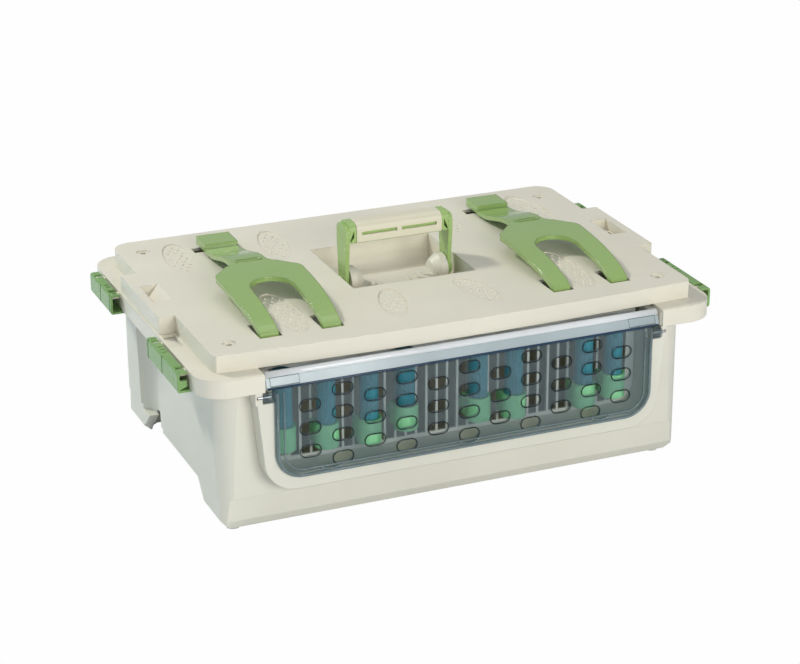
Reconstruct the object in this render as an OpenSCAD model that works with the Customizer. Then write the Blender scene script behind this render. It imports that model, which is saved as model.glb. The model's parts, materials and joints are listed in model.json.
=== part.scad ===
// Specimen transport box with a lift-off lid, a folding handle, two sprung lid clips,
// four end latches and a flap window in front of a rack of capped tubes.
// X runs along the front, Y towards the back, Z up. The origin is on the ground, midway.

/* [Tub] */
// Height of the rubber feet
foot_h = 4.5; // [3:0.5:8]
// Diameter of the rubber feet
foot_d = 13; // [10:1:18]
// Distance from the tub's ends to the middle of a foot
foot_in_x = 20; // [17:0.5:26]
// Distance from the tub's front and back to the middle of a foot
foot_in_y = 25; // [22:0.5:32]
// Length of the tub at its rim
tub_l = 482; // [470:1:500]
// Width of the tub at its rim
tub_w = 308; // [300:1:320]
// Height of the tub from its base to the lid's rim
tub_h = 147; // [135:1:180]
// Radius of the tub's upright corners
tub_r = 26; // [18:1:34]
// Wall of the tub
wall = 3; // [2:0.25:4]
// Height of the plinth below the step line
plinth_h = 33; // [28:1:40]
// Height of the arch between the feet at each end
arch_h = 27; // [20:1:28]

/* [Window] */
// Half width of the window surround at its foot
bezel_half = 203; // [200:1:208]
// Height of the window surround's lower edge above the tub's base
bezel_foot = 44; // [40:1:52]
// Radius of the window surround's lower corners
bezel_r = 32; // [24:1:40]
// How far the window surround stands in front of the tub
bezel_out = 18; // [14:0.5:19]
// Half width of the flap
flap_half = 193; // [180:1:194]
// Height of the flap's lower edge above the tub's base
flap_foot = 56; // [54:1:62]
// Radius of the flap's lower corners
flap_r = 27; // [18:1:32]
// Thickness of the flap
flap_t = 2.6; // [2:0.2:3.4]
// Distance between two columns of vents in the flap
vent_pitch = 31.87; // [28:0.1:34]
// Length of one vent
vent_l = 20; // [14:1:22]
// Height of one vent
vent_h = 11.5; // [8:0.5:14]
// Height from one vent to the next in a column
vent_rise = 22.86; // [18:0.5:24]
// Diameter of the flap's hinge pins
flap_pin_d = 3; // [2:0.25:4]

/* [Lid] */
// How far the lid's rim reaches past the tub's ends
rim_over_x = 21; // [18:0.5:26]
// How far the lid's rim reaches past the tub's front and back
rim_over_y = 23; // [22:0.5:26]
// Height of the lid's rim
rim_h = 17; // [15:0.5:20]
// Corner radius of the lid's rim
rim_r = 28; // [20:1:36]
// Width of the rim's ledge at the ends of the deck
ledge_x = 18; // [16:0.5:22]
// Width of the rim's ledge along the deck
ledge_y = 13; // [12:0.5:17]
// Height of the raised deck above the rim
deck_h = 17; // [15:0.5:22]
// Corner radius of the raised deck
deck_r = 18; // [12:1:24]
// How much the deck's long sides bow
deck_bow = 8; // [4:0.5:10]
// Thickness of the lid's skin
skin = 3; // [2.5:0.25:3.5]
// Diameter of the tie-down holes in the deck's corners
tie_d = 5.5; // [4:0.5:7]
// Distance from the deck's ends to the tie-down holes
tie_in_x = 24; // [20:0.5:34]
// Distance from the deck's long sides to the tie-down holes
tie_in_y = 32.7; // [28:0.1:40]
// Height that the lid lifts clear
lift = 90; // [60:5:150]

/* [Handle] */
// Outer width of the handle over its arms
handle_w = 113; // [104:1:116]
// Distance from the handle's pivot to the top of its grip
handle_reach = 62; // [54:1:63]
// Depth of the grip from front to back
grip_depth = 25; // [20:0.5:26]
// Height of the grip
grip_h = 19; // [15:0.5:21]
// Thickness of an arm
arm_t = 4; // [3:0.25:5]
// Diameter of the handle's pivot pins
handle_pin_d = 7; // [5:0.5:8]
// Height of the dimple that the grip folds into, below the deck
nest_depth = 27; // [26.5:0.25:28]

/* [Clips] */
// Distance from the middle of the box to the middle of a clip
clip_x = 149; // [144:1:152]
// Height of the clip's arch above the deck
clip_rise = 20; // [14:1:26]
// Thickness of a clip
clip_t = 5; // [4:0.25:6]
// Width of one leg
leg_w = 18; // [14:0.5:19]
// Distance between the two legs of a clip
leg_gap = 61; // [58:0.5:63]
// Diameter of the clips' hinge pins
clip_pin_d = 4; // [3:0.25:5]

/* [Latches] */
// Length of a front latch
latch_front_l = 92; // [80:1:96]
// Length of a rear latch
latch_rear_l = 70; // [60:1:76]
// Depth of a latch
latch_d = 9.7; // [9:0.1:11]
// Diameter of the latches' hinge pins
latch_pin_d = 2.6; // [2:0.2:3]

/* [Rack] */
// Distance between two bars of the rack
bar_pitch = 10.62; // [10:0.02:11]
// Width of one bar of the rack
bar_w = 2.4; // [1.8:0.1:3]
// Thickness of the rack
rack_t = 3; // [2.4:0.1:4]
// Diameter of a tube
tube_d = 18; // [14:0.5:18]
// Length of a tube
tube_l = 74; // [60:1:75]
// Outer diameter of a tube holder's cup
cup_d = 24; // [22:0.5:24.5]
// Height of a tube holder's cup
cup_h = 24; // [18:1:28]

/* [Hidden] */
$fn = 64;
fit = 0.3;
run = 0.05;
base_z = foot_h;
rim_z = base_z + tub_h;
ledge_z = rim_z + rim_h;
deck_z = ledge_z + deck_h;
floor_z = base_z + plinth_h;
foot_gap_x = tub_l - 2 * foot_in_x;
foot_gap_y = tub_w - 2 * foot_in_y;
bezel_y = tub_w / 2 + bezel_out;
rim_l = tub_l + 2 * rim_over_x;
rim_w = tub_w + 2 * rim_over_y;
deck_l = rim_l - 2 * ledge_x;
deck_w = rim_w - 2 * ledge_y;
tie_x = deck_l - 2 * tie_in_x;
tie_y = deck_w - 2 * tie_in_y;

// Lower edges of the tub, drawn in from the rim by the mould's draft
draft_x = 2.4;
draft_y = 3;
step_in = 1.8;
skirt_in = 3.5;
toe_in = 9;
toe_h = 9.5;

// Window and its surround
bezel_top_half = bezel_half + 7;
open_half = flap_half - 1.8;
open_foot = base_z + flap_foot + 3.5;
cheek_y = tub_w / 2 - 13.5;
flap_front = bezel_y + 0.3 + flap_t;
flap_axis_y = -(bezel_y - 0.6);
flap_axis_z = rim_z - 7;
flap_top = rim_z - 0.5;
ear_half = flap_half + 10;
ear_h = 9;
trim_half = 199.8;
trim_top = [-(rim_w / 2 - 9), ledge_z - 1.2];
trim_foot = [-(flap_front - 0.2), rim_z + 0.7];
trim_t = 2;
header_t = 2.5;

// Handle
handle_y = 4;
handle_z = deck_z - 12;
arm_in = handle_w / 2 - arm_t;
grip_half = 45;
knuckle_r = 15;
knuckle_out = arm_in - 1;
knuckle_in = 37;
well_half = 64.4;
well_front = -47;
well_back = 71;
well_floor = deck_z - 20;
nest_front = 44;
nest_r = 10;
well_channel = -12;

// Clips
clip_axis_y = -(deck_w / 2 - 42);
clip_axis_z = deck_z - 6;
clip_tip_r = 6;
slot_w = 22;
slot_front = clip_axis_y - 10.5;
slot_back = clip_axis_y + 25;
tab_half = 17;
tab_from = 98;
tab_to = 125;

// Latches
latch_in = rim_l / 2 + 1.9;
latch_top = ledge_z + 0.5;
latch_foot = rim_z - 2.6;
latch_axis_x = rim_l / 2 + 6;
latch_axis_z = latch_top - 5;
latch_front_y = -50 - latch_front_l / 2;
latch_rear_y = 68 + latch_rear_l / 2;
latch_wall = 2.2;
latch_hook = 4.8;
latch_notch = 7.2;

// Rack and tubes
tube_y = -(bezel_y - 17);
rack_front = tube_y + cup_d / 2 + 0.3;
rack_half = open_half - 0.4;
rack_top = ledge_z - 8;
bars = floor(rack_half / bar_pitch);
bar_shift = 2;
cup_step = [-34, -26, -18, -11, 3, 10, 24, 30];
cup_z = [83, 79.5, 76.5, 83.5, 79.5, 76.5, 74.5, 79.5];
cup_wall = 2;
cup_floor = 2;

// Points of an arc round (cx, cy) from angle a0 to a1
function arc(cx, cy, r, a0, a1, n) =
    [for (i = [0:n]) let (a = a0 + (a1 - a0) * i / n) [cx + r * cos(a), cy + r * sin(a)]];

// An outline and its mirror image about the vertical axis, as one closed ring
function mirrored(points) =
    concat(points, [for (i = [len(points) - 1:-1:0]) [-points[i][0], points[i][1]]]);

module rounded_rect(l, w, r) {
    square([l - 2 * r, w], center = true);
    square([l, w - 2 * r], center = true);
    for (sx = [-1, 1], sy = [-1, 1])
        translate([sx * (l / 2 - r), sy * (w / 2 - r)])
            circle(r);
}

// Extrudes a YZ outline along X, from x0 for length l
module along_x(x0, l) {
    translate([x0, 0, 0])
        rotate([90, 0, 90])
            linear_extrude(l)
                children();
}

// Extrudes an XZ outline along Y, from y0 for length l
module along_y(y0, l) {
    translate([0, y0 + l, 0])
        rotate([90, 0, 0])
            linear_extrude(l)
                children();
}

module both_ends() {
    children();
    mirror([1, 0, 0]) children();
}

module rod_x(x0, l, y, z, r) {
    translate([x0, y, z])
        rotate([0, 90, 0])
            cylinder(h = l, r = r);
}

// Body of the tub with drafted sides, drawn in by t, from height z0 to z1
module tub_form(t, z0, z1) {
    half_l = tub_l / 2 - t;
    half_w = tub_w / 2 - t;
    intersection() {
        translate([0, 0, z0])
            linear_extrude(z1 - z0)
                rounded_rect(2 * half_l, 2 * half_w, tub_r - t);
        along_x(-half_l, 2 * half_l)
            polygon(mirrored([
                [half_w, rim_z + rim_h],
                [half_w - draft_y, floor_z + t],
                [half_w - draft_y - step_in, floor_z + t],
                [half_w - skirt_in - draft_y, base_z + toe_h],
                [half_w - skirt_in - toe_in, base_z]
            ]));
        along_y(-half_w, 2 * half_w)
            polygon(mirrored([
                [half_l, rim_z + rim_h],
                [half_l - draft_x, floor_z + t],
                [half_l - draft_x - step_in, floor_z + t],
                [half_l - skirt_in, base_z + toe_h],
                [half_l - skirt_in - toe_in, base_z]
            ]));
    }
}

// Outline of the window surround, in XZ, drawn in by t
module bezel_outline(t) {
    half = bezel_half - t;
    foot = base_z + bezel_foot + t;
    r = bezel_r - t;
    top = rim_z + 1;
    polygon(mirrored(concat(
        [[bezel_top_half - t, top]],
        arc(half - r, foot + r, r, 0, -90, 10)
    )));
}

// Outline of the flap, or of the opening behind it, in XZ
module flap_outline(half, foot, r, top) {
    polygon(mirrored(concat([[half, top]], arc(half - r, foot + r, r, 0, -90, 8))));
}

// Upright hollow in each end wall, with a sharp front edge and a curved back
channel_from = 32;
channel_to = 74;
channel_x = tub_l / 2 - 15;
channel_r = 30;

module channel(t) {
    foot = base_z + arch_h - t;
    translate([channel_x - t, channel_from - t, foot])
        cube([60, channel_to - channel_from + t, rim_z - 2 - foot]);
    translate([channel_x + channel_r, channel_to, foot])
        cylinder(h = rim_z - 2 - foot, r = channel_r + t);
}

module arch() {
    along_x(-tub_l, 2 * tub_l)
        polygon(mirrored([[76, base_z + arch_h], [101, base_z + 3], [103, base_z - 1]]));
}

// Flange round the tub's top, under the lid's rim
module tub_flange() {
    flange_l = rim_l - 2 * skin - 2 * fit;
    flange_w = rim_w - 2 * skin - 2 * fit;
    difference() {
        translate([0, 0, rim_z + fit])
            linear_extrude(rim_h - skin - 2 * fit)
                rounded_rect(flange_l, flange_w, rim_r - skin - fit);
        translate([0, 0, rim_z - 1])
            linear_extrude(rim_h)
                rounded_rect(tub_l - 2 * wall, tub_w - 2 * wall, tub_r - wall);
        difference() {
            translate([0, 0, rim_z - 1])
                linear_extrude(rim_h - skin - 2 * fit - wall + 1)
                    rounded_rect(flange_l - 2 * wall, flange_w - 2 * wall, rim_r - skin - wall);
            translate([0, 0, rim_z - 1])
                linear_extrude(rim_h)
                    rounded_rect(tub_l, tub_w, tub_r);
        }
        translate([-trim_half - 1.5, -rim_w, rim_z - 1])
            cube([2 * trim_half + 3, rim_w - tub_w / 2 + 4, rim_h + 2]);
    }
}

// Bar over the window that carries the trim
module header() {
    slope = (trim_foot[0] - trim_top[0]) / (trim_foot[1] - trim_top[1]);
    z0 = rim_z + 1;
    z1 = ledge_z - skin - fit;
    y0 = trim_top[0] + slope * (z0 - trim_top[1]) + trim_t + fit + 0.1;
    y1 = trim_top[0] + slope * (z1 - trim_top[1]) + trim_t + fit + 0.1;
    along_x(-trim_half - 1.5, 2 * trim_half + 3)
        polygon([[y0, z0], [y0 + header_t, z0], [y1 + header_t, z1], [y1, z1]]);
    both_ends() {
        translate([trim_half - 3, -bezel_y + 2.2, rim_z - 2])
            cube([4.5, 27.8, 5]);
        translate([trim_half - 6, -bezel_y + 5.5, rim_z + 0.5])
            cube([7.5, tub_w / 2 - 132, z1 - rim_z - 0.5]);
    }
}

module tub() {
    color([0.89, 0.87, 0.79]) {
        difference() {
            union() {
                difference() {
                    tub_form(0, base_z, rim_z + 2);
                    tub_form(wall, floor_z, rim_z + 3);
                    translate([0, 0, base_z - 1])
                        linear_extrude(plinth_h - wall + 1)
                            difference() {
                                rounded_rect(tub_l - 28, tub_w - 38, tub_r - 6);
                                for (sx = [-1, 1], sy = [-1, 1])
                                    translate([sx * foot_gap_x / 2, sy * foot_gap_y / 2])
                                        square(26, center = true);
                            }
                }
                intersection() {
                    both_ends()
                        channel(wall);
                    tub_form(0, floor_z - wall, rim_z + 1);
                }
                difference() {
                    along_y(-bezel_y, bezel_y - cheek_y)
                        bezel_outline(0);
                    along_y(-bezel_y + wall, bezel_y)
                        difference() {
                            bezel_outline(wall);
                            flap_outline(open_half + wall, open_foot - wall, flap_r - 2, rim_z + 4);
                        }
                }
                both_ends()
                    translate([ear_half + fit, -bezel_y, flap_axis_z - 7])
                        cube([7, 14, 13.5]);
                tub_flange();
                header();
            }
            both_ends()
                channel(0);
            arch();
            along_y(-bezel_y - 1, bezel_y - cheek_y + 2)
                flap_outline(open_half, open_foot, flap_r - 5, rim_z + 0.5);
            both_ends() {
                translate([open_half - 1, -bezel_y - 1, flap_axis_z - 6.5])
                    cube([ear_half + fit - open_half + 1, 10.5, 14]);
                rod_x(ear_half - 1, 7, flap_axis_y, flap_axis_z, flap_pin_d / 2 + run);
            }
            translate([-open_half, tube_y - tube_d / 2 - 0.5, rim_z])
                cube([2 * open_half, tube_d / 2 + 0.5 - tube_y - cheek_y + 1, 10]);
            for (sx = [-1, 1], sy = [-1, 1])
                translate([sx * foot_gap_x / 2, sy * foot_gap_y / 2, base_z - 1])
                    cylinder(h = 7, r = foot_d / 2 - 2.5 + run);
        }
    }
}

module header_trim() {
    top = trim_top;
    foot = trim_foot;
    color([0.82, 0.87, 0.9, 0.8]) {
        along_x(-trim_half, 2 * trim_half)
            polygon([top, foot, [foot[0] + trim_t, foot[1]], [top[0] + trim_t, top[1]]]);
    }
}

module feet() {
    color([0.86, 0.86, 0.82])
        for (sx = [-1, 1], sy = [-1, 1])
            translate([sx * foot_gap_x / 2, sy * foot_gap_y / 2, 0]) {
                cylinder(h = base_z, r = foot_d / 2);
                cylinder(h = base_z + 5, r = foot_d / 2 - 2.5);
            }
}

module vent() {
    w = vent_l - vent_h;
    square([w, vent_h], center = true);
    for (s = [-1, 1])
        translate([s * w / 2, 0])
            circle(vent_h / 2);
}

module front_flap() {
    vent_top = rim_z - 8.5;
    color([0.3, 0.42, 0.5, 0.45]) {
        difference() {
            union() {
                along_y(-flap_front, flap_t)
                    flap_outline(flap_half, base_z + flap_foot, flap_r, flap_top);
                both_ends() {
                    translate([flap_half - 8, -flap_front, flap_axis_z - ear_h / 2])
                        cube([ear_half - flap_half + 8, flap_front + flap_axis_y, ear_h]);
                    rod_x(flap_half - 2, ear_half - flap_half + 2, flap_axis_y, flap_axis_z, ear_h / 2);
                }
            }
            for (k = [-5:5])
                for (j = [0:(abs(k) % 2 == 0 ? 3 : 2)])
                    translate([k * vent_pitch, 0, vent_top - (abs(k) % 2) * vent_rise / 2 - j * vent_rise])
                        along_y(-flap_front - 1, flap_t + 2)
                            vent();
            both_ends()
                rod_x(flap_half, 20, flap_axis_y, flap_axis_z, flap_pin_d / 2 + run);
        }
    }
}

module flap_pins() {
    color([0.8, 0.82, 0.84])
        both_ends()
            rod_x(flap_half + 2, ear_half - flap_half + 3, flap_axis_y, flap_axis_z, flap_pin_d / 2);
}

module deck_outline(t) {
    bow_r = (pow(deck_l / 2, 2) + pow(deck_bow, 2)) / (2 * deck_bow);
    intersection() {
        rounded_rect(deck_l - 2 * t, deck_w - 2 * t, deck_r - t);
        translate([0, bow_r - deck_w / 2])
            circle(bow_r - t, $fn = 720);
    }
}

// Lens-shaped grip pad, in plan
module pad(l, w) {
    polygon([for (i = [0:31]) [w / 2 * cos(i * 11.25), l / 2 * sin(i * 11.25)]]);
}

module pads() {
    both_ends() {
        translate([193, 100])
            rotate(6)
                pad(86, 28);
        translate([92, 100])
            rotate(6)
                pad(86, 28);
        translate([clip_x - 1, -80])
            pad(106, 30);
        translate([44, -96])
            rotate(12)
                pad(74, 26);
    }
}

// Knuckle beside a handle arm, on its stepped foot
module knuckle() {
    intersection() {
        union() {
            rod_x(knuckle_in + 8, knuckle_out - knuckle_in - 8, handle_y, handle_z, knuckle_r);
            translate([knuckle_in + 8, handle_y, handle_z])
                rotate([0, -90, 0])
                    cylinder(h = 8, r1 = knuckle_r, r2 = knuckle_r - 6);
        }
        translate([0, -60, well_floor - 1])
            cube([80, 120, 60]);
    }
    intersection() {
        translate([0, -60, 0])
            cube([knuckle_out, 120, deck_z]);
        for (i = [0:2])
            translate([0, 0, well_floor - 1])
                linear_extrude(1 + 2 * (i + 1)) {
                    translate([knuckle_in - 6 + 5 * i, handle_y - 16 + 1.5 * i])
                        square([30, 32 - 3 * i]);
                    translate([knuckle_in - 6 + 5 * i, handle_y])
                        circle(16 - 1.5 * i);
                }
    }
}

// Hollow that the handle folds into, grown by t, with a deeper channel for each arm
module handle_well(t) {
    top = t > 0 ? deck_z : deck_z + 20;
    nest_z = deck_z - nest_depth - t;
    translate([-well_half - t, well_front - t, well_floor - t])
        cube([2 * (well_half + t), nest_front - well_front + 2 * t, top - well_floor + t]);
    both_ends()
        translate([knuckle_out + 0.1 - t, well_channel - t, nest_z])
            cube([well_half - knuckle_out - 0.1 + 2 * t, well_back - nest_r - well_channel + t, top - nest_z]);
    along_x(-well_half - t, 2 * (well_half + t))
        polygon(concat(
            [[nest_front - 14 - t, well_floor - t], [nest_front, nest_z]],
            arc(well_back - nest_r, deck_z - nest_depth + nest_r, nest_r + t, -90, 0, 8),
            [[well_back + t, top], [nest_front - 14 - t, top]]
        ));
}

module clip_slots() {
    both_ends()
        for (s = [-1, 1])
            translate([clip_x + s * leg_gap / 2 - slot_w / 2, slot_front, deck_z - 30])
                cube([slot_w, slot_back - slot_front, 40]);
}

// Cheeks under the deck that hold the clips' pins, beside each slot
module clip_cheeks() {
    both_ends()
        for (s = [-1, 1])
            translate([clip_x + s * leg_gap / 2 - slot_w / 2 - 4, slot_front - 3, clip_axis_z - 6])
                cube([slot_w + 8, 22, 10]);
}

// Blocks on the lid's ends that reach over the rim
module end_blocks() {
    both_ends()
        difference() {
            translate([deck_l / 2 - 20, -46, ledge_z - skin])
                cube([rim_l / 2 - deck_l / 2 + 18, 122, deck_h + skin]);
            translate([deck_l / 2 - 30, -46 + skin, ledge_z - skin - 1])
                cube([rim_l / 2 - deck_l / 2 + 25, 122 - 2 * skin, deck_h + 1]);
        }
}

// Strap pocket in each end block, with a floor that slopes to a slit, grown by t
module strap_pocket(t) {
    x0 = deck_l / 2 - 10 - t;
    x1 = deck_l / 2 + 8 + t;
    translate([0, -7 - t, 0])
        along_y(0, 46 + 2 * t)
            polygon([[x0, deck_z - t], [x1 - 5, deck_z - 11 - t], [x1, deck_z - 11 - t],
                [x1, deck_z + (t > 0 ? 0 : 5)], [x0, deck_z + (t > 0 ? 0 : 5)]]);
}

module end_pockets() {
    both_ends() {
        strap_pocket(0);
        translate([deck_l / 2 + 1, 4, deck_z - 20])
            cube([6, 24, 20]);
        translate([deck_l / 2 + 3, -80, ledge_z - skin - 1])
            cube([12, 30, skin + 5]);
    }
}

module tie_holes() {
    for (sx = [-1, 1], sy = [-1, 1])
        translate([sx * tie_x / 2, sy * tie_y / 2, 0]) {
            translate([0, 0, deck_z - 20])
                cylinder(h = 40, r = tie_d / 2);
            translate([0, 0, deck_z - 1.6])
                cylinder(h = 5, r = tie_d / 2 + 4);
        }
}

// Lugs on the lid's rim that carry a latch
module latch_lugs(y_mid, l) {
    for (s = [-1, 1])
        translate([rim_l / 2 - skin, y_mid + s * (l / 2 - 12) - 3, latch_axis_z - 2.5])
            cube([latch_axis_x - rim_l / 2 + skin, 6, 5]);
    for (s = [-1, 1])
        translate([latch_axis_x, y_mid + s * (l / 2 - 12) + 3, latch_axis_z])
            rotate([90, 0, 0])
                cylinder(h = 6, r = 2.5);
}

module latch_bores(y_mid, l) {
    translate([latch_axis_x, y_mid + l / 2, latch_axis_z])
        rotate([90, 0, 0])
            cylinder(h = l, r = latch_pin_d / 2 + run);
}

module lid() {
    color([0.9, 0.88, 0.8]) {
        difference() {
            union() {
                difference() {
                    union() {
                        translate([0, 0, rim_z])
                            linear_extrude(rim_h)
                                rounded_rect(rim_l, rim_w, rim_r);
                        translate([0, 0, ledge_z - 1])
                            linear_extrude(deck_h + 1)
                                deck_outline(0);
                    }
                    translate([0, 0, rim_z - 1])
                        linear_extrude(rim_h - skin + 1)
                            rounded_rect(rim_l - 2 * skin, rim_w - 2 * skin, rim_r - skin);
                    translate([0, 0, rim_z - 1])
                        linear_extrude(rim_h + deck_h - skin + 1)
                            deck_outline(skin);
                }
                end_blocks();
                both_ends()
                    strap_pocket(2);
                handle_well(skin);
                clip_cheeks();
                for (sx = [-1, 1], sy = [-1, 1])
                    translate([sx * tie_x / 2, sy * tie_y / 2, deck_z - 10])
                        cylinder(h = 9, r = tie_d / 2 + 4);
                both_ends() {
                    latch_lugs(latch_front_y, latch_front_l);
                    latch_lugs(latch_rear_y, latch_rear_l);
                }
            }
            handle_well(0);
            clip_slots();
            end_pockets();
            tie_holes();
            translate([0, 0, deck_z - 1.2])
                linear_extrude(5)
                    pads();
            both_ends()
                translate([clip_x - 24, 108, deck_z - 10])
                    cube([48, 13, 20]);
            both_ends() {
                for (s = [-1, 1])
                    rod_x(clip_x + s * leg_gap / 2 - slot_w / 2 - 3.5, slot_w + 7,
                          clip_axis_y, clip_axis_z, clip_pin_d / 2 + run);
                latch_bores(latch_front_y, latch_front_l);
                latch_bores(latch_rear_y, latch_rear_l);
            }
            translate([-trim_half - 2.5, -rim_w, rim_z - 1])
                cube([2 * trim_half + 5, rim_w - tub_w / 2 + 1, rim_h + 1.1]);
        }
        difference() {
            both_ends()
                knuckle();
            both_ends()
                rod_x(knuckle_in + 3, 40, handle_y, handle_z, handle_pin_d / 2 + run);
        }
    }
}

// Outline of the grip's cross section, drawn in by t, about the pivot
module grip_section(t) {
    r = 7 - t;
    half = grip_depth / 2 - t;
    top = handle_reach - t;
    foot = handle_reach - grip_h - t / 2;
    translate([handle_y + 0.5, handle_z])
        polygon(concat(
            [[-half, foot]],
            arc(-half + r, top - r, r, 180, 90, 6),
            arc(half - r, top - r, r, 90, 0, 6),
            [[half, foot]]
        ));
}

module arm_outline() {
    top = handle_reach - 3;
    translate([handle_y, handle_z])
        polygon(concat(
            arc(0, 0, 9, 180, 360, 12),
            [[11, 24], [grip_depth / 2 + 0.5, handle_reach - grip_h]],
            arc(grip_depth / 2 - 5.5, top - 6, 6, 0, 90, 4),
            arc(-grip_depth / 2 + 6.5, top - 6, 6, 90, 180, 4),
            [[-grip_depth / 2 + 0.5, handle_reach - grip_h], [-10, 24]]
        ));
}

module handle_frame() {
    head_z = handle_z + handle_reach - grip_h;
    color([0.62, 0.77, 0.48]) {
        difference() {
            union() {
                both_ends() {
                    along_x(arm_in, arm_t)
                        arm_outline();
                    intersection() {
                        along_x(grip_half + 0.2, arm_in - grip_half)
                            grip_section(0.4);
                        along_y(-40, 90)
                            polygon([
                                [grip_half, head_z + 2], [arm_in + 1, head_z - 6],
                                [arm_in + 1, head_z + 40], [grip_half, head_z + 40]
                            ]);
                    }
                }
                along_x(-grip_half - 1.6, 2 * grip_half + 3.2)
                    grip_section(2.8);
            }
            both_ends() {
                rod_x(arm_in - 1, 12, handle_y, handle_z, handle_pin_d / 2 + run);
                along_y(-40, 90)
                    polygon([
                        [grip_half + 2.7, head_z + 5], [arm_in - 1, head_z + 0.5],
                        [arm_in - 1, head_z + 3], [grip_half + 2.7, head_z + 12]
                    ]);
            }
            along_x(-grip_half - 0.7, 2 * grip_half + 1.4)
                translate([0, -1.5])
                    grip_section(5.2);
        }
    }
}

module handle_grip() {
    head_z = handle_z + handle_reach - grip_h;
    color([0.93, 0.91, 0.82])
        difference() {
            along_x(-grip_half, 2 * grip_half)
                grip_section(0);
            along_x(-grip_half - 1, 2 * grip_half + 2)
                grip_section(2.6);
            for (s = [-1, 1])
                translate([s * 21 - 18.5, handle_y - grip_depth / 2 - 2, head_z + 7])
                    cube([37, 7, 3.2]);
        }
}

module handle_pins() {
    color([0.62, 0.77, 0.48])
        both_ends() {
            rod_x(knuckle_in + 4, arm_in + arm_t - knuckle_in - 3.7, handle_y, handle_z, handle_pin_d / 2);
            rod_x(arm_in + arm_t + 0.2, 2.4, handle_y, handle_z, handle_pin_d / 2 + 2.5);
        }
}

// Height of the clip's upper face above the deck at distance y from the middle
function clip_top(y) =
    y < 18
    ? clip_rise * pow(1 - pow((18 - y) / 146, 2.4), 0.62)
    : 7 + (clip_rise - 7) * (0.5 + 0.5 * cos(180 * min(1, (y - 18) / 76)));

module clip_profile() {
    ys = concat([for (y = [-127.5:1.5:-123]) y], [for (y = [-118:9:18]) y], [for (y = [28:10:98]) y]);
    top = [for (y = ys) [y, deck_z + clip_top(y)]];
    bottom = [for (i = [len(ys) - 1:-1:3]) [ys[i], deck_z + clip_top(ys[i]) - clip_t]];
    polygon(concat(top, bottom, [[-119, deck_z - 5], [-127.8, deck_z - 5]]));
}

// Plan of a clip about its own middle
module clip_plan() {
    inner = leg_gap / 2 - leg_w / 2;
    outer = leg_gap / 2 + leg_w / 2;
    polygon(mirrored(concat(
        [for (p = arc(0, -32 - inner, inner, 90, 0, 10)) p],
        [[inner, slot_front - 2], [outer, slot_front - 2], [outer + 3.5, -70]],
        arc(30, -18, 14, 0, 60, 6),
        arc(30, 18, 12, -110, -180, 5),
        [[18, 60], [tab_half, tab_from], [tab_half, tab_to + 2]]
    )));
}

module clip() {
    color([0.6, 0.76, 0.42]) {
        difference() {
            union() {
                intersection() {
                    linear_extrude(deck_z + 60)
                        clip_plan();
                    along_x(-60, 120)
                        clip_profile();
                }
                for (s = [-1, 1])
                    rod_x(s * leg_gap / 2 - leg_w / 2, leg_w, clip_axis_y, clip_axis_z, clip_tip_r);
                translate([-tab_half, tab_from - 2, deck_z + 3])
                    cube([2 * tab_half, tab_to - tab_from + 2, 8.5]);
                translate([-9, 111, deck_z - 6])
                    cube([18, 5, 10]);
                translate([0, 17, deck_z + clip_rise - clip_t + 0.5])
                    linear_extrude(clip_t + 0.3)
                        slit_ring(14, 4);
            }
            translate([0, 17, deck_z - 1])
                linear_extrude(clip_rise + 5)
                    slit_ring(12, 1.4);
            for (s = [-1, 1])
                rod_x(s * leg_gap / 2 - 20, 40, clip_axis_y, clip_axis_z, clip_pin_d / 2 + run);
        }
    }
}

module slit_ring(half, r) {
    square([2 * (half - r), 2 * r], center = true);
    for (s = [-1, 1])
        translate([s * (half - r), 0])
            circle(r);
}

module clip_left() {
    translate([-clip_x, 0, 0])
        clip();
}

module clip_right() {
    translate([clip_x, 0, 0])
        clip();
}

module clip_pins() {
    color([0.75, 0.76, 0.77])
        for (s = [-1, 1])
            rod_x(s * leg_gap / 2 - slot_w / 2 - 3, slot_w + 6, clip_axis_y, clip_axis_z, clip_pin_d / 2);
}

module clip_pins_left() {
    translate([-clip_x, 0, 0])
        clip_pins();
}

module clip_pins_right() {
    translate([clip_x, 0, 0])
        clip_pins();
}

// Cross section of a latch in XZ, a C that hooks under the tub's flange
module latch_section() {
    out = latch_in + latch_d;
    r = 2.5;
    polygon(concat(
        arc(latch_in + 2, latch_top - 2, 2, 180, 90, 5),
        arc(out - r, latch_top - r, r, 90, 0, 5),
        arc(out - r, latch_foot + r, r, 0, -90, 5),
        [[latch_in - latch_hook, latch_foot], [latch_in - latch_hook, latch_foot + latch_wall],
         [out - latch_wall, latch_foot + latch_wall], [out - latch_wall, latch_top - latch_wall],
         [latch_in, latch_top - latch_wall]]
    ));
}

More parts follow.
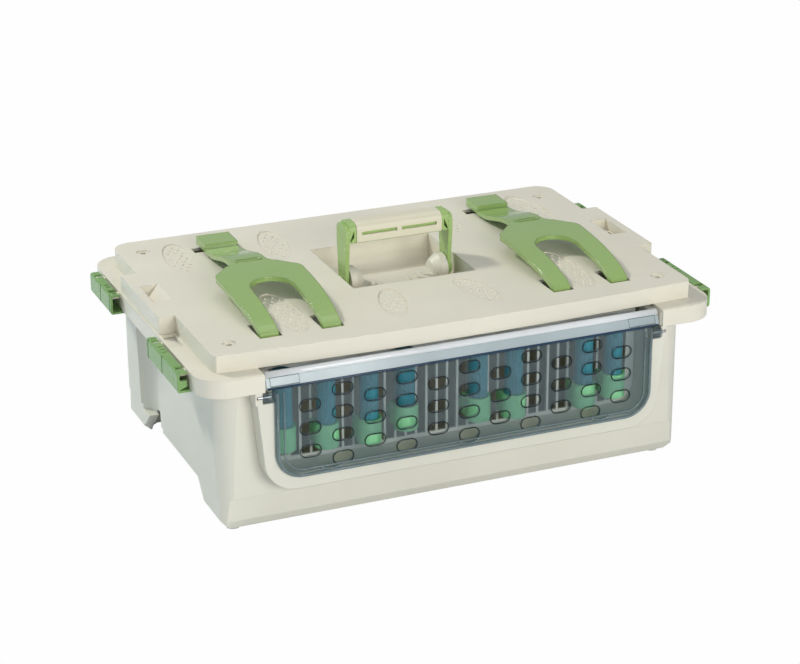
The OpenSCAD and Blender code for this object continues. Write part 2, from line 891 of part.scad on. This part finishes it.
// A latch of length l about y = 0, with cross slots at the given distances towards side s
module latch(l, slots, s) {
    out = latch_in + latch_d;
    groove = 1;
    color([0.5, 0.7, 0.42]) {
        difference() {
            union() {
                along_y(-l / 2, l)
                    latch_section();
                for (e = [-1, 1])
                    translate([0, e * (l / 2 - 19), 0])
                        along_y(-2, 4)
                            polygon([[latch_axis_x - 3, latch_axis_z - 3], [latch_axis_x - 3, latch_top - 1],
                                [out - 1, latch_top - 1], [out - 1, latch_axis_z - 3]]);
                translate([0, -s * (l / 2 - 1.2), 0])
                    along_y(-1.2, 2.4)
                        polygon([[latch_in + 0.3, rim_z + 3], [latch_in + 0.3, latch_axis_z - 3.5],
                            [out - 1, latch_axis_z - 3.5], [out - 1, rim_z]]);
            }
            for (e = [-1, 1])
                translate([latch_in - 1, e * (l / 2 - 12) - latch_notch / 2, latch_top - latch_wall - 0.4])
                    cube([latch_d - 0.8, latch_notch, latch_wall + 2]);
            for (y = slots)
                translate([latch_in + 2.2, s * y - 1, latch_top - latch_wall - 1])
                    cube([4.4, 2, latch_wall + 2]);
            translate([out - groove, -1, latch_foot - 1])
                cube([groove + 1, 2, latch_top - latch_foot + 2]);
            translate([out - groove, s * (l / 2 - 4) - 1, latch_foot - 1])
                cube([groove + 1, 2, latch_top - latch_foot + 2]);
            translate([latch_axis_x, l / 2 + 1, latch_axis_z])
                rotate([90, 0, 0])
                    cylinder(h = l + 2, r = latch_pin_d / 2 + run);
        }
    }
}

module latch_pin(l) {
    color([0.75, 0.76, 0.77])
        translate([latch_axis_x, l / 2 - 8, latch_axis_z])
            rotate([90, 0, 0])
                cylinder(h = l - 16, r = latch_pin_d / 2);
}

module latch_front_right() {
    translate([0, latch_front_y, 0]) latch(latch_front_l, [6, 13, 20, 41.5], 1);
}

module latch_front_left() {
    mirror([1, 0, 0]) latch_front_right();
}

module latch_rear_right() {
    translate([0, latch_rear_y, 0]) latch(latch_rear_l, [5, 11, 30], -1);
}

module latch_rear_left() {
    mirror([1, 0, 0]) latch_rear_right();
}

module pin_front_right() {
    translate([0, latch_front_y, 0]) latch_pin(latch_front_l);
}

module pin_front_left() {
    mirror([1, 0, 0]) pin_front_right();
}

module pin_rear_right() {
    translate([0, latch_rear_y, 0]) latch_pin(latch_rear_l);
}

module pin_rear_left() {
    mirror([1, 0, 0]) pin_rear_right();
}

module rack_panel() {
    slot_w = bar_pitch - bar_w;
    foot = open_foot + 0.1;
    color([0.9, 0.88, 0.8])
        difference() {
            along_y(rack_front, rack_t)
                flap_outline(rack_half, foot, flap_r - 5.4, rack_top);
            for (k = [-bars - 1:bars])
                translate([bar_shift + k * bar_pitch + bar_w / 2, rack_front - 1, 0])
                    slot_cut(abs(bar_shift + (k + 0.5) * bar_pitch));
        }
}

// Middle of a holder, on a bar or on a slot of the rack
function cup_x(i) = bar_shift + cup_step[i] * bar_pitch / 2;

// Distance of a holder's two tabs from its middle, so that each passes through a slot
function holder_tab_x(i) = cup_step[i] % 2 == 0 ? bar_pitch / 2 : bar_pitch;

// One slot of the rack, shortened where the lower corners curve up
module slot_cut(off) {
    corner = flap_r - 5.4;
    over = max(0, off + bar_pitch / 2 - (rack_half - corner));
    up = corner - sqrt(max(0, corner * corner - over * over));
    if (off + bar_pitch / 2 < rack_half - 1.2)
        translate([0, 0, open_foot + 4 + up])
            cube([bar_pitch - bar_w, rack_t + 2, rack_top - open_foot - 8 - up]);
}

// Cup that clips to the bars and holds one tube
module holder(i) {
    color([0.45, 0.68, 0.45])
        translate([cup_x(i), tube_y, cup_z[i]]) {
            difference() {
                union() {
                    cylinder(h = cup_h, r = cup_d / 2);
                    translate([-cup_d / 2, 0, 3])
                        cube([cup_d, rack_front - tube_y - 0.3, cup_h - 3]);
                }
                translate([0, 0, cup_floor])
                    cylinder(h = cup_h, r = tube_d / 2 + 0.4);
            }
            for (s = [-1, 1])
                translate([s * holder_tab_x(i) - 1, rack_front - tube_y - 2.5, 8]) {
                    cube([2, rack_t + 4, 10]);
                    translate([-0.8, rack_t + 2.8, 0])
                        cube([3.6, 1.6, 10]);
                }
        }
}

module tube(i) {
    color([0.35, 0.6, 0.65, 0.5])
        translate([cup_x(i), tube_y, cup_z[i] + cup_floor + 0.1])
            rotate_extrude()
                difference() {
                    union() {
                        translate([0, 4])
                            square([tube_d / 2, tube_l - 4]);
                        square([tube_d / 2 - 4, 5]);
                        translate([tube_d / 2 - 4, 4])
                            circle(4);
                    }
                    translate([-20, -20])
                        square([20, 200]);
                    translate([-1, 2.5])
                        square([tube_d / 2 - 0.3, tube_l]);
                }
}

module stopper(i) {
    color([0.25, 0.5, 0.55])
        translate([cup_x(i), tube_y, cup_z[i] + cup_floor + 0.1 + tube_l]) {
            cylinder(h = 2.4, r = tube_d / 2 - 0.2);
            translate([0, 0, -6])
                cylinder(h = 7, r = tube_d / 2 - 1.4);
        }
}

module holder_1() { holder(0); }
module holder_2() { holder(1); }
module holder_3() { holder(2); }
module holder_4() { holder(3); }
module holder_5() { holder(4); }
module holder_6() { holder(5); }
module holder_7() { holder(6); }
module holder_8() { holder(7); }

module tube_1() { tube(0); }
module tube_2() { tube(1); }
module tube_3() { tube(2); }
module tube_4() { tube(3); }
module tube_5() { tube(4); }
module tube_6() { tube(5); }
module tube_7() { tube(6); }
module tube_8() { tube(7); }

module stopper_1() { stopper(0); }
module stopper_2() { stopper(1); }
module stopper_3() { stopper(2); }
module stopper_4() { stopper(3); }
module stopper_5() { stopper(4); }
module stopper_6() { stopper(5); }
module stopper_7() { stopper(6); }
module stopper_8() { stopper(7); }

tub();
header_trim();
rack_panel();
feet();
front_flap();
flap_pins();
lid();
handle_frame();
handle_grip();
handle_pins();
clip_left();
clip_right();
clip_pins_left();
clip_pins_right();
latch_front_left();
latch_front_right();
latch_rear_left();
latch_rear_right();
pin_front_left();
pin_front_right();
pin_rear_left();
pin_rear_right();
holder_1();
holder_2();
holder_3();
holder_4();
holder_5();
holder_6();
holder_7();
holder_8();
tube_1();
tube_2();
tube_3();
tube_4();
tube_5();
tube_6();
tube_7();
tube_8();
stopper_1();
stopper_2();
stopper_3();
stopper_4();
stopper_5();
stopper_6();
stopper_7();
stopper_8();
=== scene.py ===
import json
import math
import bpy
import bmesh
from mathutils import Vector, Matrix


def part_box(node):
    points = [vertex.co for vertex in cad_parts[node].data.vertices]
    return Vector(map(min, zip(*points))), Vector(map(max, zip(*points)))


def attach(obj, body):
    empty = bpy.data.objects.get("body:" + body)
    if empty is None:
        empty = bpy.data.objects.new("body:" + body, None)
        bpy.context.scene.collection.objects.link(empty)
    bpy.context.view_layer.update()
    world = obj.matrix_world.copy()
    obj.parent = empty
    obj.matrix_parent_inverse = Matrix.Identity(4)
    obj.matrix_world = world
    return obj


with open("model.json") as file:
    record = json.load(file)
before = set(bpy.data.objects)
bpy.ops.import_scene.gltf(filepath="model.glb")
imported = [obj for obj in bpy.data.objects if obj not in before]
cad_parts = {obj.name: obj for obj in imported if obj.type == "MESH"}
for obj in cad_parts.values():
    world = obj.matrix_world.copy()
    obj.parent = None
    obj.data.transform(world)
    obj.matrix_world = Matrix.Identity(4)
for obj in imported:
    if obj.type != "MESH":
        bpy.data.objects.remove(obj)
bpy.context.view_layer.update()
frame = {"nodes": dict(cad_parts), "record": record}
scene = bpy.context.scene


# Materials

def lin(c):
    """sRGB numbers from 0 to 1 as linear ones."""
    return tuple(v / 12.92 if v <= 0.04045 else ((v + 0.055) / 1.055) ** 2.4 for v in c)


class Mat:
    """A node material, with short calls for its usual nodes."""

    def __init__(self, name):
        self.m = bpy.data.materials.new(name)
        self.m.use_nodes = True
        self.t = self.m.node_tree
        self.t.nodes.clear()
        self.out = self.t.nodes.new("ShaderNodeOutputMaterial")
        self.coord = self.t.nodes.new("ShaderNodeTexCoord")

    def node(self, kind, **values):
        n = self.t.nodes.new(kind)
        for key, value in values.items():
            if key in n.inputs:
                n.inputs[key].default_value = value
            else:
                setattr(n, key, value)
        return n

    def link(self, a, b):
        self.t.links.new(a, b)

    def noise(self, scale, detail=2.0, rough=0.5, stretch=None):
        n = self.node("ShaderNodeTexNoise")
        n.inputs["Scale"].default_value = scale
        n.inputs["Detail"].default_value = detail
        n.inputs["Roughness"].default_value = rough
        if stretch:
            m = self.node("ShaderNodeMapping")
            m.inputs["Scale"].default_value = stretch
            self.link(self.coord.outputs["Object"], m.inputs["Vector"])
            self.link(m.outputs["Vector"], n.inputs["Vector"])
        else:
            self.link(self.coord.outputs["Object"], n.inputs["Vector"])
        return n.outputs["Fac"]

    def ramp(self, fac, stops):
        r = self.node("ShaderNodeValToRGB")
        els = r.color_ramp.elements
        while len(els) < len(stops):
            els.new(0.5)
        for e, (p, c) in zip(els, stops):
            e.position = p
            e.color = (*c, 1)
        self.link(fac, r.inputs["Fac"])
        return r.outputs["Color"]

    def map_range(self, fac, lo, hi, a=0.0, b=1.0):
        r = self.node("ShaderNodeMapRange")
        r.inputs["From Min"].default_value = lo
        r.inputs["From Max"].default_value = hi
        r.inputs["To Min"].default_value = a
        r.inputs["To Max"].default_value = b
        self.link(fac, r.inputs["Value"])
        return r.outputs["Result"]

    def mix(self, fac, a, b, mode="MIX"):
        n = self.node("ShaderNodeMix", data_type="RGBA", blend_type=mode)
        for sock, v in ((n.inputs[0], fac), (n.inputs[6], a), (n.inputs[7], b)):
            if isinstance(v, bpy.types.NodeSocket):
                self.link(v, sock)
            elif isinstance(v, tuple):
                sock.default_value = (*v, 1)
            else:
                sock.default_value = v
        return n.outputs[2]

    def bump(self, height, strength, distance, normal=None):
        b = self.node("ShaderNodeBump")
        b.inputs["Strength"].default_value = strength
        b.inputs["Distance"].default_value = distance
        self.link(height, b.inputs["Height"])
        if normal is not None:
            self.link(normal, b.inputs["Normal"])
        return b.outputs["Normal"]

    def bevel(self, radius):
        b = self.node("ShaderNodeBevel", samples=4)
        b.inputs["Radius"].default_value = radius
        return b.outputs["Normal"]


def plastic(name, rgb, dark=0.94, rough=(0.34, 0.46), edge=0.0007, grain=1.0, spec=0.5, coat=0.0, sss=0.0):
    """Moulded plastic: faint cloudy colour, fine grain, rounded edges and rubbed roughness."""
    p = Mat(name)
    base = lin(rgb)
    low = tuple(v * dark for v in base)
    cloud = p.noise(9.0, 4.0, 0.55)
    color = p.ramp(cloud, [(0.32, low), (0.68, base)])
    speck = p.noise(900.0, 1.0)
    color = p.mix(0.05, color, p.ramp(speck, [(0.35, low), (0.65, base)]))
    b = p.node("ShaderNodeBsdfPrincipled")
    p.link(color, b.inputs["Base Color"])
    p.link(p.map_range(p.noise(26.0, 5.0, 0.6), 0.3, 0.7, *rough), b.inputs["Roughness"])
    b.inputs["Specular IOR Level"].default_value = spec
    b.inputs["Coat Weight"].default_value = coat
    b.inputs["Coat Roughness"].default_value = 0.12
    if sss:
        b.inputs["Subsurface Weight"].default_value = sss
        b.inputs["Subsurface Radius"].default_value = (0.004, 0.004, 0.003)
        b.inputs["Subsurface Scale"].default_value = 1.0
    n = p.bevel(edge)
    n = p.bump(p.noise(5.0, 2.0), 0.12 * grain, 0.004, n)
    n = p.bump(p.noise(1600.0, 2.0), 0.10 * grain, 0.0002, n)
    p.link(n, b.inputs["Normal"])
    p.link(b.outputs[0], p.out.inputs["Surface"])
    return p.m


def clear(name, tint, rough, shade, through, edge=0.0005):
    """Clear moulded plastic: a tinted see-through body under a glossy skin, darker where seen edge on."""
    p = Mat(name)
    see = p.node("ShaderNodeBsdfTransparent")
    streak = p.noise(3.0, 3.0, 0.5, (1.0, 1.0, 6.0))
    p.link(p.ramp(streak, [(0.3, tuple(v * 0.94 for v in tint)), (0.7, tint)]), see.inputs["Color"])
    body = p.node("ShaderNodeBsdfPrincipled")
    deep = tuple(v * 0.85 for v in shade)
    p.link(p.ramp(p.noise(12.0, 3.0), [(0.3, deep), (0.7, shade)]), body.inputs["Base Color"])
    p.link(p.map_range(p.noise(30.0, 4.0), 0.3, 0.7, rough, rough + 0.08), body.inputs["Roughness"])
    body.inputs["Specular IOR Level"].default_value = 0.6
    n = p.bump(p.noise(6.0, 2.0), 0.15, 0.003, p.bevel(edge))
    p.link(n, body.inputs["Normal"])
    lw = p.node("ShaderNodeLayerWeight")
    lw.inputs["Blend"].default_value = 0.35
    fac = p.map_range(lw.outputs["Facing"], 0.0, 1.0, through, min(1.0, through + 0.6))
    mixer = p.node("ShaderNodeMixShader")
    p.link(fac, mixer.inputs[0])
    p.link(see.outputs[0], mixer.inputs[1])
    p.link(body.outputs[0], mixer.inputs[2])
    p.link(mixer.outputs[0], p.out.inputs["Surface"])
    return p.m


def steel(name):
    """Drawn steel of the hinge pins, with faint lines along the pin."""
    p = Mat(name)
    b = p.node("ShaderNodeBsdfPrincipled")
    drawn = p.noise(60.0, 3.0, 0.5, (20.0, 1.0, 1.0))
    p.link(p.ramp(drawn, [(0.3, (0.45, 0.46, 0.47)), (0.7, (0.62, 0.63, 0.64))]), b.inputs["Base Color"])
    b.inputs["Metallic"].default_value = 1.0
    p.link(p.map_range(p.noise(80.0, 3.0), 0.3, 0.7, 0.25, 0.4), b.inputs["Roughness"])
    p.link(p.bump(p.noise(300.0, 2.0, 0.5, (30.0, 1.0, 1.0)), 0.1, 0.0002), b.inputs["Normal"])
    p.link(b.outputs[0], p.out.inputs["Surface"])
    return p.m


# Materials by the record's slot, and four more for trim that only the scene has
mats = {
    "cream_shell": plastic("shell_plastic", (0.885, 0.875, 0.815), grain=0.8, sss=0.04),
    "cream_lid": plastic("lid_plastic", (0.905, 0.885, 0.815), rough=(0.38, 0.52), sss=0.04),
    "cream_rack": plastic("rack_plastic", (0.86, 0.86, 0.83), rough=(0.25, 0.35)),
    "clear_trim": clear("trim_clear", (0.82, 0.90, 0.92), 0.10, lin((0.86, 0.90, 0.91)), 0.50),
    # Near-white clear colour that paints the highlight along the trim's rounded upper edge
    "trim_painted_highlight": clear("trim_edge_painted_highlight", (0.95, 0.97, 0.98), 0.08, lin((0.97, 0.98, 0.98)), 0.80),
    "trim_dark": clear("trim_foot_clear", (0.25, 0.38, 0.50), 0.10, lin((0.16, 0.27, 0.38)), 0.70),
    # Dark clear colour that paints the shade seen in the vent walls of the clear flap
    "vent_painted_shade": clear("vent_rim_painted_shade", (0.30, 0.36, 0.38), 0.10, lin((0.10, 0.14, 0.15)), 0.75),
    "smoke_clear": clear("flap_smoke", (0.92, 0.95, 0.96), 0.05, lin((0.52, 0.58, 0.60)), 0.10),
    "flap_edge": clear("flap_edge_clear", (0.62, 0.72, 0.75), 0.08, lin((0.62, 0.68, 0.68)), 0.35),
    "steel_pin": steel("pin_steel"),
    "rubber_foot": plastic("foot_rubber", (0.80, 0.80, 0.76), rough=(0.65, 0.8), grain=2.0, spec=0.3),
    "handle_green": plastic("handle_plastic", (0.64, 0.76, 0.46), rough=(0.22, 0.32), coat=0.2, edge=0.0005),
    "ivory_grip": plastic("grip_plastic", (0.90, 0.88, 0.78), rough=(0.28, 0.4), edge=0.0006),
    "clip_green": plastic("clip_plastic", (0.60, 0.72, 0.42), rough=(0.16, 0.26), coat=0.5, edge=0.0022),
    "latch_green": plastic("latch_plastic", (0.50, 0.66, 0.38), rough=(0.22, 0.34), coat=0.2, edge=0.0006),
    "cup_green": plastic("cup_plastic", (0.58, 0.86, 0.64), rough=(0.25, 0.35), edge=0.0008, sss=0.2),
    "teal_tube": clear("tube_teal", (0.60, 0.88, 0.92), 0.05, lin((0.36, 0.70, 0.76)), 0.40),
    "stopper_teal": plastic("stopper_plastic", (0.18, 0.42, 0.50), rough=(0.3, 0.4)),
}
slots = {s["node"]: s["material_slot"] for s in frame["record"]["subparts"]}
for node, obj in frame["nodes"].items():
    m = mats[slots[node]]
    if not obj.material_slots:
        obj.data.materials.append(m)
    for ms in obj.material_slots:
        ms.material = m


# Forms that go with the solids

def piece(name, bm, mat, body):
    """One smooth mesh piece that rides on a body."""
    me = bpy.data.meshes.new(name)
    bm.normal_update()
    bm.to_mesh(me)
    bm.free()
    o = bpy.data.objects.new(name, me)
    scene.collection.objects.link(o)
    me.materials.append(mat)
    for f in me.polygons:
        f.use_smooth = True
    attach(o, body)


def bead(bm, points, width, height, normal, closed=False):
    """A low half-round bead along points; width across, height along normal."""
    n = Vector(normal).normalized()
    steps = 6
    rings = []
    count = len(points)
    for i, p in enumerate(points):
        a = points[(i - 1) % count] if closed or i > 0 else points[i]
        b = points[(i + 1) % count] if closed or i < count - 1 else points[i]
        d = (Vector(b) - Vector(a)).normalized()
        side = d.cross(n).normalized()
        ring = []
        for k in range(steps + 1):
            t = math.pi * k / steps
            across = side * (width / 2 * math.cos(t))
            ring.append(bm.verts.new(Vector(p) + across + n * (height * math.sin(t))))
        rings.append(ring)
    last = count if closed else count - 1
    for i in range(last):
        r0, r1 = rings[i], rings[(i + 1) % count]
        for k in range(steps):
            bm.faces.new((r0[k], r0[k + 1], r1[k + 1], r1[k]))
        bm.faces.new((r0[0], r1[0], r1[-1], r0[-1]))
    if not closed:
        bm.faces.new(rings[0][::-1])
        bm.faces.new(rings[-1])


def dome(bm, x, y, z, r, h):
    """A low round dome standing on z."""
    seg = 10
    levels = 4
    rings = []
    for k in range(levels):
        t = math.pi / 2 * k / levels
        rings.append([bm.verts.new((x + r * math.cos(t) * math.cos(2 * math.pi * i / seg),
                                    y + r * math.cos(t) * math.sin(2 * math.pi * i / seg),
                                    z + h * math.sin(t))) for i in range(seg)])
    top = bm.verts.new((x, y, z + h))
    for a, b in zip(rings, rings[1:]):
        for i in range(seg):
            bm.faces.new((a[i], a[(i + 1) % seg], b[(i + 1) % seg], b[i]))
    for i in range(seg):
        bm.faces.new((rings[-1][i], rings[-1][(i + 1) % seg], top))
    bm.faces.new(rings[0][::-1])


# Dots on the lid's lens-shaped pads, each pad given as x, y, length, width and turn in degrees
deck_z = 0.1855
dot_r = 0.0016
dot_h = 0.0013
dot_pitch = 0.0078
dot_row = 0.0085
pads = [(0.193, 0.100, 0.086, 0.028, 6), (0.092, 0.100, 0.086, 0.028, 6),
        (0.148, -0.080, 0.106, 0.030, 0), (0.044, -0.096, 0.074, 0.026, 12)]
dots = bmesh.new()
for side in (-1, 1):
    for px, py, length, width, turn in pads:
        a = math.radians(turn)

        def spot(u, v):
            x = u * math.cos(a) - v * math.sin(a)
            y = u * math.sin(a) + v * math.cos(a)
            return side * (px + x), py + y

        rows = int(length / 2 / dot_row)
        for j in range(-rows, rows + 1):
            for i in range(-3, 4):
                u = (i + (j % 2) * 0.5) * dot_pitch
                v = j * dot_row
                if (u / (width / 2 - 0.003)) ** 2 + (v / (length / 2 - 0.004)) ** 2 < 1:
                    x, y = spot(u, v)
                    dome(dots, x, y, deck_z - dot_h, dot_r, dot_h)
piece("lid_pad_dots", dots, mats["cream_lid"], "lid_body")

# Double rim of the flap
forward = (0, -1, 0)
front_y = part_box("front_flap")[0][1]
foot_z = 0.0605
rim_top = 0.1485
half = 0.193
corner_r = 0.027
rim = bmesh.new()
for inset, w, h in ((0.0022, 0.0030, 0.0010), (0.0085, 0.0018, 0.0008)):
    r = corner_r - inset
    low = foot_z + inset
    line = [(-half + inset, front_y, rim_top)]
    for k in range(13):
        t = math.radians(180 + 90 * k / 12)
        line.append((-half + inset + r + r * math.cos(t), front_y, low + r + r * math.sin(t)))
    line += [(half * u, front_y, low) for u in (-0.6, -0.3, 0, 0.3, 0.6)]
    for k in range(13):
        t = math.radians(270 + 90 * k / 12)
        line.append((half - inset - r + r * math.cos(t), front_y, low + r + r * math.sin(t)))
    line.append((half - inset, front_y, rim_top))
    bead(rim, line, w, h, forward)
piece("flap_rims", rim, mats["flap_edge"], "flap_body")


def slot_line(cx, cz, y, length, height):
    """Outline of a long hole with round ends, on the flap's front."""
    r = height / 2
    line = []
    for s in (1, -1):
        for k in range(9):
            t = math.radians(-90 * s + 180 * k / 8)
            line.append((cx + s * (length - height) / 2 + r * math.cos(t), y, cz + r * math.sin(t)))
    return line


# Dark rim of each vent in the flap: painted shade for the dark look of the vent walls in the clear plastic
vent_pitch = 0.03187
vent_top = 0.1430
vent_rise = 0.02286
vent_size = (0.0204, 0.0119)
vents = bmesh.new()
for k in range(-5, 6):
    odd = abs(k) % 2
    for j in range(3 if odd else 4):
        cz = vent_top - odd * vent_rise / 2 - j * vent_rise
        line = slot_line(k * vent_pitch, cz, front_y + 0.0001, *vent_size)
        bead(vents, line, 0.0012, 0.0006, forward, True)
piece("flap_vent_painted_shade_rims", vents, mats["vent_painted_shade"], "flap_body")

# Upper edge bead whose light colour paints the highlight on the trim's rounded top, dark foot line and end
# frames of the trim over the flap
t_lo, t_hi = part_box("header_trim")
trim_t = 0.0020
trim_end = 0.0005
trim_hi = (t_hi[1] - trim_t, t_hi[2])
trim_lo = (t_lo[1], t_lo[2])
trim_n = (0, trim_lo[1] - trim_hi[1], trim_hi[0] - trim_lo[0])
trim_xs = [t_lo[0] + trim_end + (t_hi[0] - t_lo[0] - 2 * trim_end) * k / 8 for k in range(9)]
frame_x = (0.168, 0.196)
frame_u = (0.34, 0.84)


def on_trim(x, u):
    """Point of the trim's face at x, from its top at u = 0 to its foot at 1."""
    return (x, *(a + (b - a) * u for a, b in zip(trim_hi, trim_lo)))


# The upper bead's light colour is a painted highlight, not the trim's own colour
for name, u, w, h, slot in (("trim_top_painted_highlight", 0.16, 0.0060, 0.0012, "trim_painted_highlight"),
                            ("trim_foot_edge", 0.95, 0.0022, 0.0009, "trim_dark")):
    trim = bmesh.new()
    bead(trim, [on_trim(x, u) for x in trim_xs], w, h, trim_n)
    piece(name, trim, mats[slot], "tub_body")
trim = bmesh.new()
for s in (-1, 1):
    corners = [on_trim(s * frame_x[i], frame_u[j]) for i, j in ((0, 0), (1, 0), (1, 1), (0, 1))]
    bead(trim, corners, 0.0010, 0.0006, trim_n, True)
piece("trim_end_frames", trim, mats["flap_edge"], "tub_body")

# Crescent finger marks on the flap's foot
mark_half = 0.012
mark_drop = 0.007
mark_z = foot_z + 0.0115
marks = bmesh.new()
for cx in (-0.139, 0.0, 0.139):
    line = []
    for k in range(17):
        t = math.radians(205 + 130 * k / 16)
        line.append((cx + mark_half * math.cos(t), front_y + 0.0002, mark_z + mark_drop * math.sin(t)))
    bead(marks, line, 0.0018, 0.0009, forward)
piece("flap_finger_marks", marks, mats["flap_edge"], "flap_body")


# Floor, light and camera

def backdrop(name, size, z):
    """A level sheet that the camera sees as white and that lights the part as a pale grey floor."""
    me = bpy.data.meshes.new(name)
    bm = bmesh.new()
    bmesh.ops.create_grid(bm, x_segments=8, y_segments=8, size=size)
    bm.to_mesh(me)
    bm.free()
    o = bpy.data.objects.new(name, me)
    scene.collection.objects.link(o)
    o.location = (0, 0, z)
    p = Mat(name + "_white")
    lp = p.node("ShaderNodeLightPath")
    seen = p.node("ShaderNodeMath", operation="MAXIMUM")
    p.link(lp.outputs["Is Camera Ray"], seen.inputs[0])
    p.link(lp.outputs["Is Transmission Ray"], seen.inputs[1])
    d = p.node("ShaderNodeBsdfDiffuse")
    p.link(p.ramp(p.noise(2.0), [(0.0, (0.74, 0.76, 0.80)), (1.0, (0.80, 0.82, 0.85))]), d.inputs["Color"])
    e = p.node("ShaderNodeEmission")
    e.inputs["Color"].default_value = (0.99, 0.99, 0.99, 1)
    e.inputs["Strength"].default_value = 1.0
    mx = p.node("ShaderNodeMixShader")
    p.link(seen.outputs[0], mx.inputs[0])
    p.link(d.outputs[0], mx.inputs[1])
    p.link(e.outputs[0], mx.inputs[2])
    p.link(mx.outputs[0], p.out.inputs["Surface"])
    me.materials.append(p.m)


backdrop("floor", 12.0, -0.0005)

world = bpy.data.worlds.new("studio")
scene.world = world
world.use_nodes = True
wt = world.node_tree
wt.nodes.clear()
w_out = wt.nodes.new("ShaderNodeOutputWorld")
w_lp = wt.nodes.new("ShaderNodeLightPath")
w_a = wt.nodes.new("ShaderNodeBackground")
w_a.inputs["Color"].default_value = (0.88, 0.93, 1.0, 1)
w_a.inputs["Strength"].default_value = 0.38
w_b = wt.nodes.new("ShaderNodeBackground")
w_b.inputs["Color"].default_value = (1, 1, 1, 1)
w_b.inputs["Strength"].default_value = 1.0
w_mix = wt.nodes.new("ShaderNodeMixShader")
wt.links.new(w_lp.outputs["Is Camera Ray"], w_mix.inputs[0])
wt.links.new(w_a.outputs[0], w_mix.inputs[1])
wt.links.new(w_b.outputs[0], w_mix.inputs[2])
wt.links.new(w_mix.outputs[0], w_out.inputs["Surface"])


def area(name, place, aim, size, power, color):
    """A rectangular lamp at place that looks at aim."""
    data = bpy.data.lights.new(name, "AREA")
    data.shape = "RECTANGLE"
    data.size, data.size_y = size
    data.energy = power
    data.color = color
    o = bpy.data.objects.new(name, data)
    scene.collection.objects.link(o)
    o.location = place
    o.rotation_euler = (Vector(aim) - Vector(place)).to_track_quat("-Z", "Y").to_euler()


area("key", (-1.3, 1.4, 1.95), (0, 0, 0.12), (0.35, 0.35), 34, (1.0, 0.98, 0.93))
area("front_fill", (0.2, -2.6, 0.9), (0, 0, 0.1), (1.4, 1.0), 38, (1.0, 0.99, 0.97))
area("blue_side", (-2.0, 1.2, 0.7), (-0.25, 0.05, 0.1), (1.0, 1.0), 6, (0.30, 0.74, 1.0))
area("top_fill", (0.2, 0.6, 2.4), (0, 0, 0.15), (1.6, 1.2), 5, (1.0, 0.99, 0.97))

cam_data = bpy.data.cameras.new("photo_camera")
cam = bpy.data.objects.new("photo_camera", cam_data)
scene.collection.objects.link(cam)
place = Vector((-0.85110, -2.02636, 0.99805))
aim = Vector((0.00345, 0.0, 0.11226))
cam.location = place
cam.rotation_euler = ((aim - place).to_track_quat("-Z", "Y").to_matrix()
                      @ Matrix.Rotation(math.radians(-0.152), 3, "Z")).to_euler()
cam_data.sensor_width = 36.0
focal_px = 2374.0
photo_px = 800.0
cam_data.lens = focal_px * cam_data.sensor_width / photo_px
cam_data.clip_end = 60.0
scene.camera = cam

scene.view_settings.view_transform = "Standard"
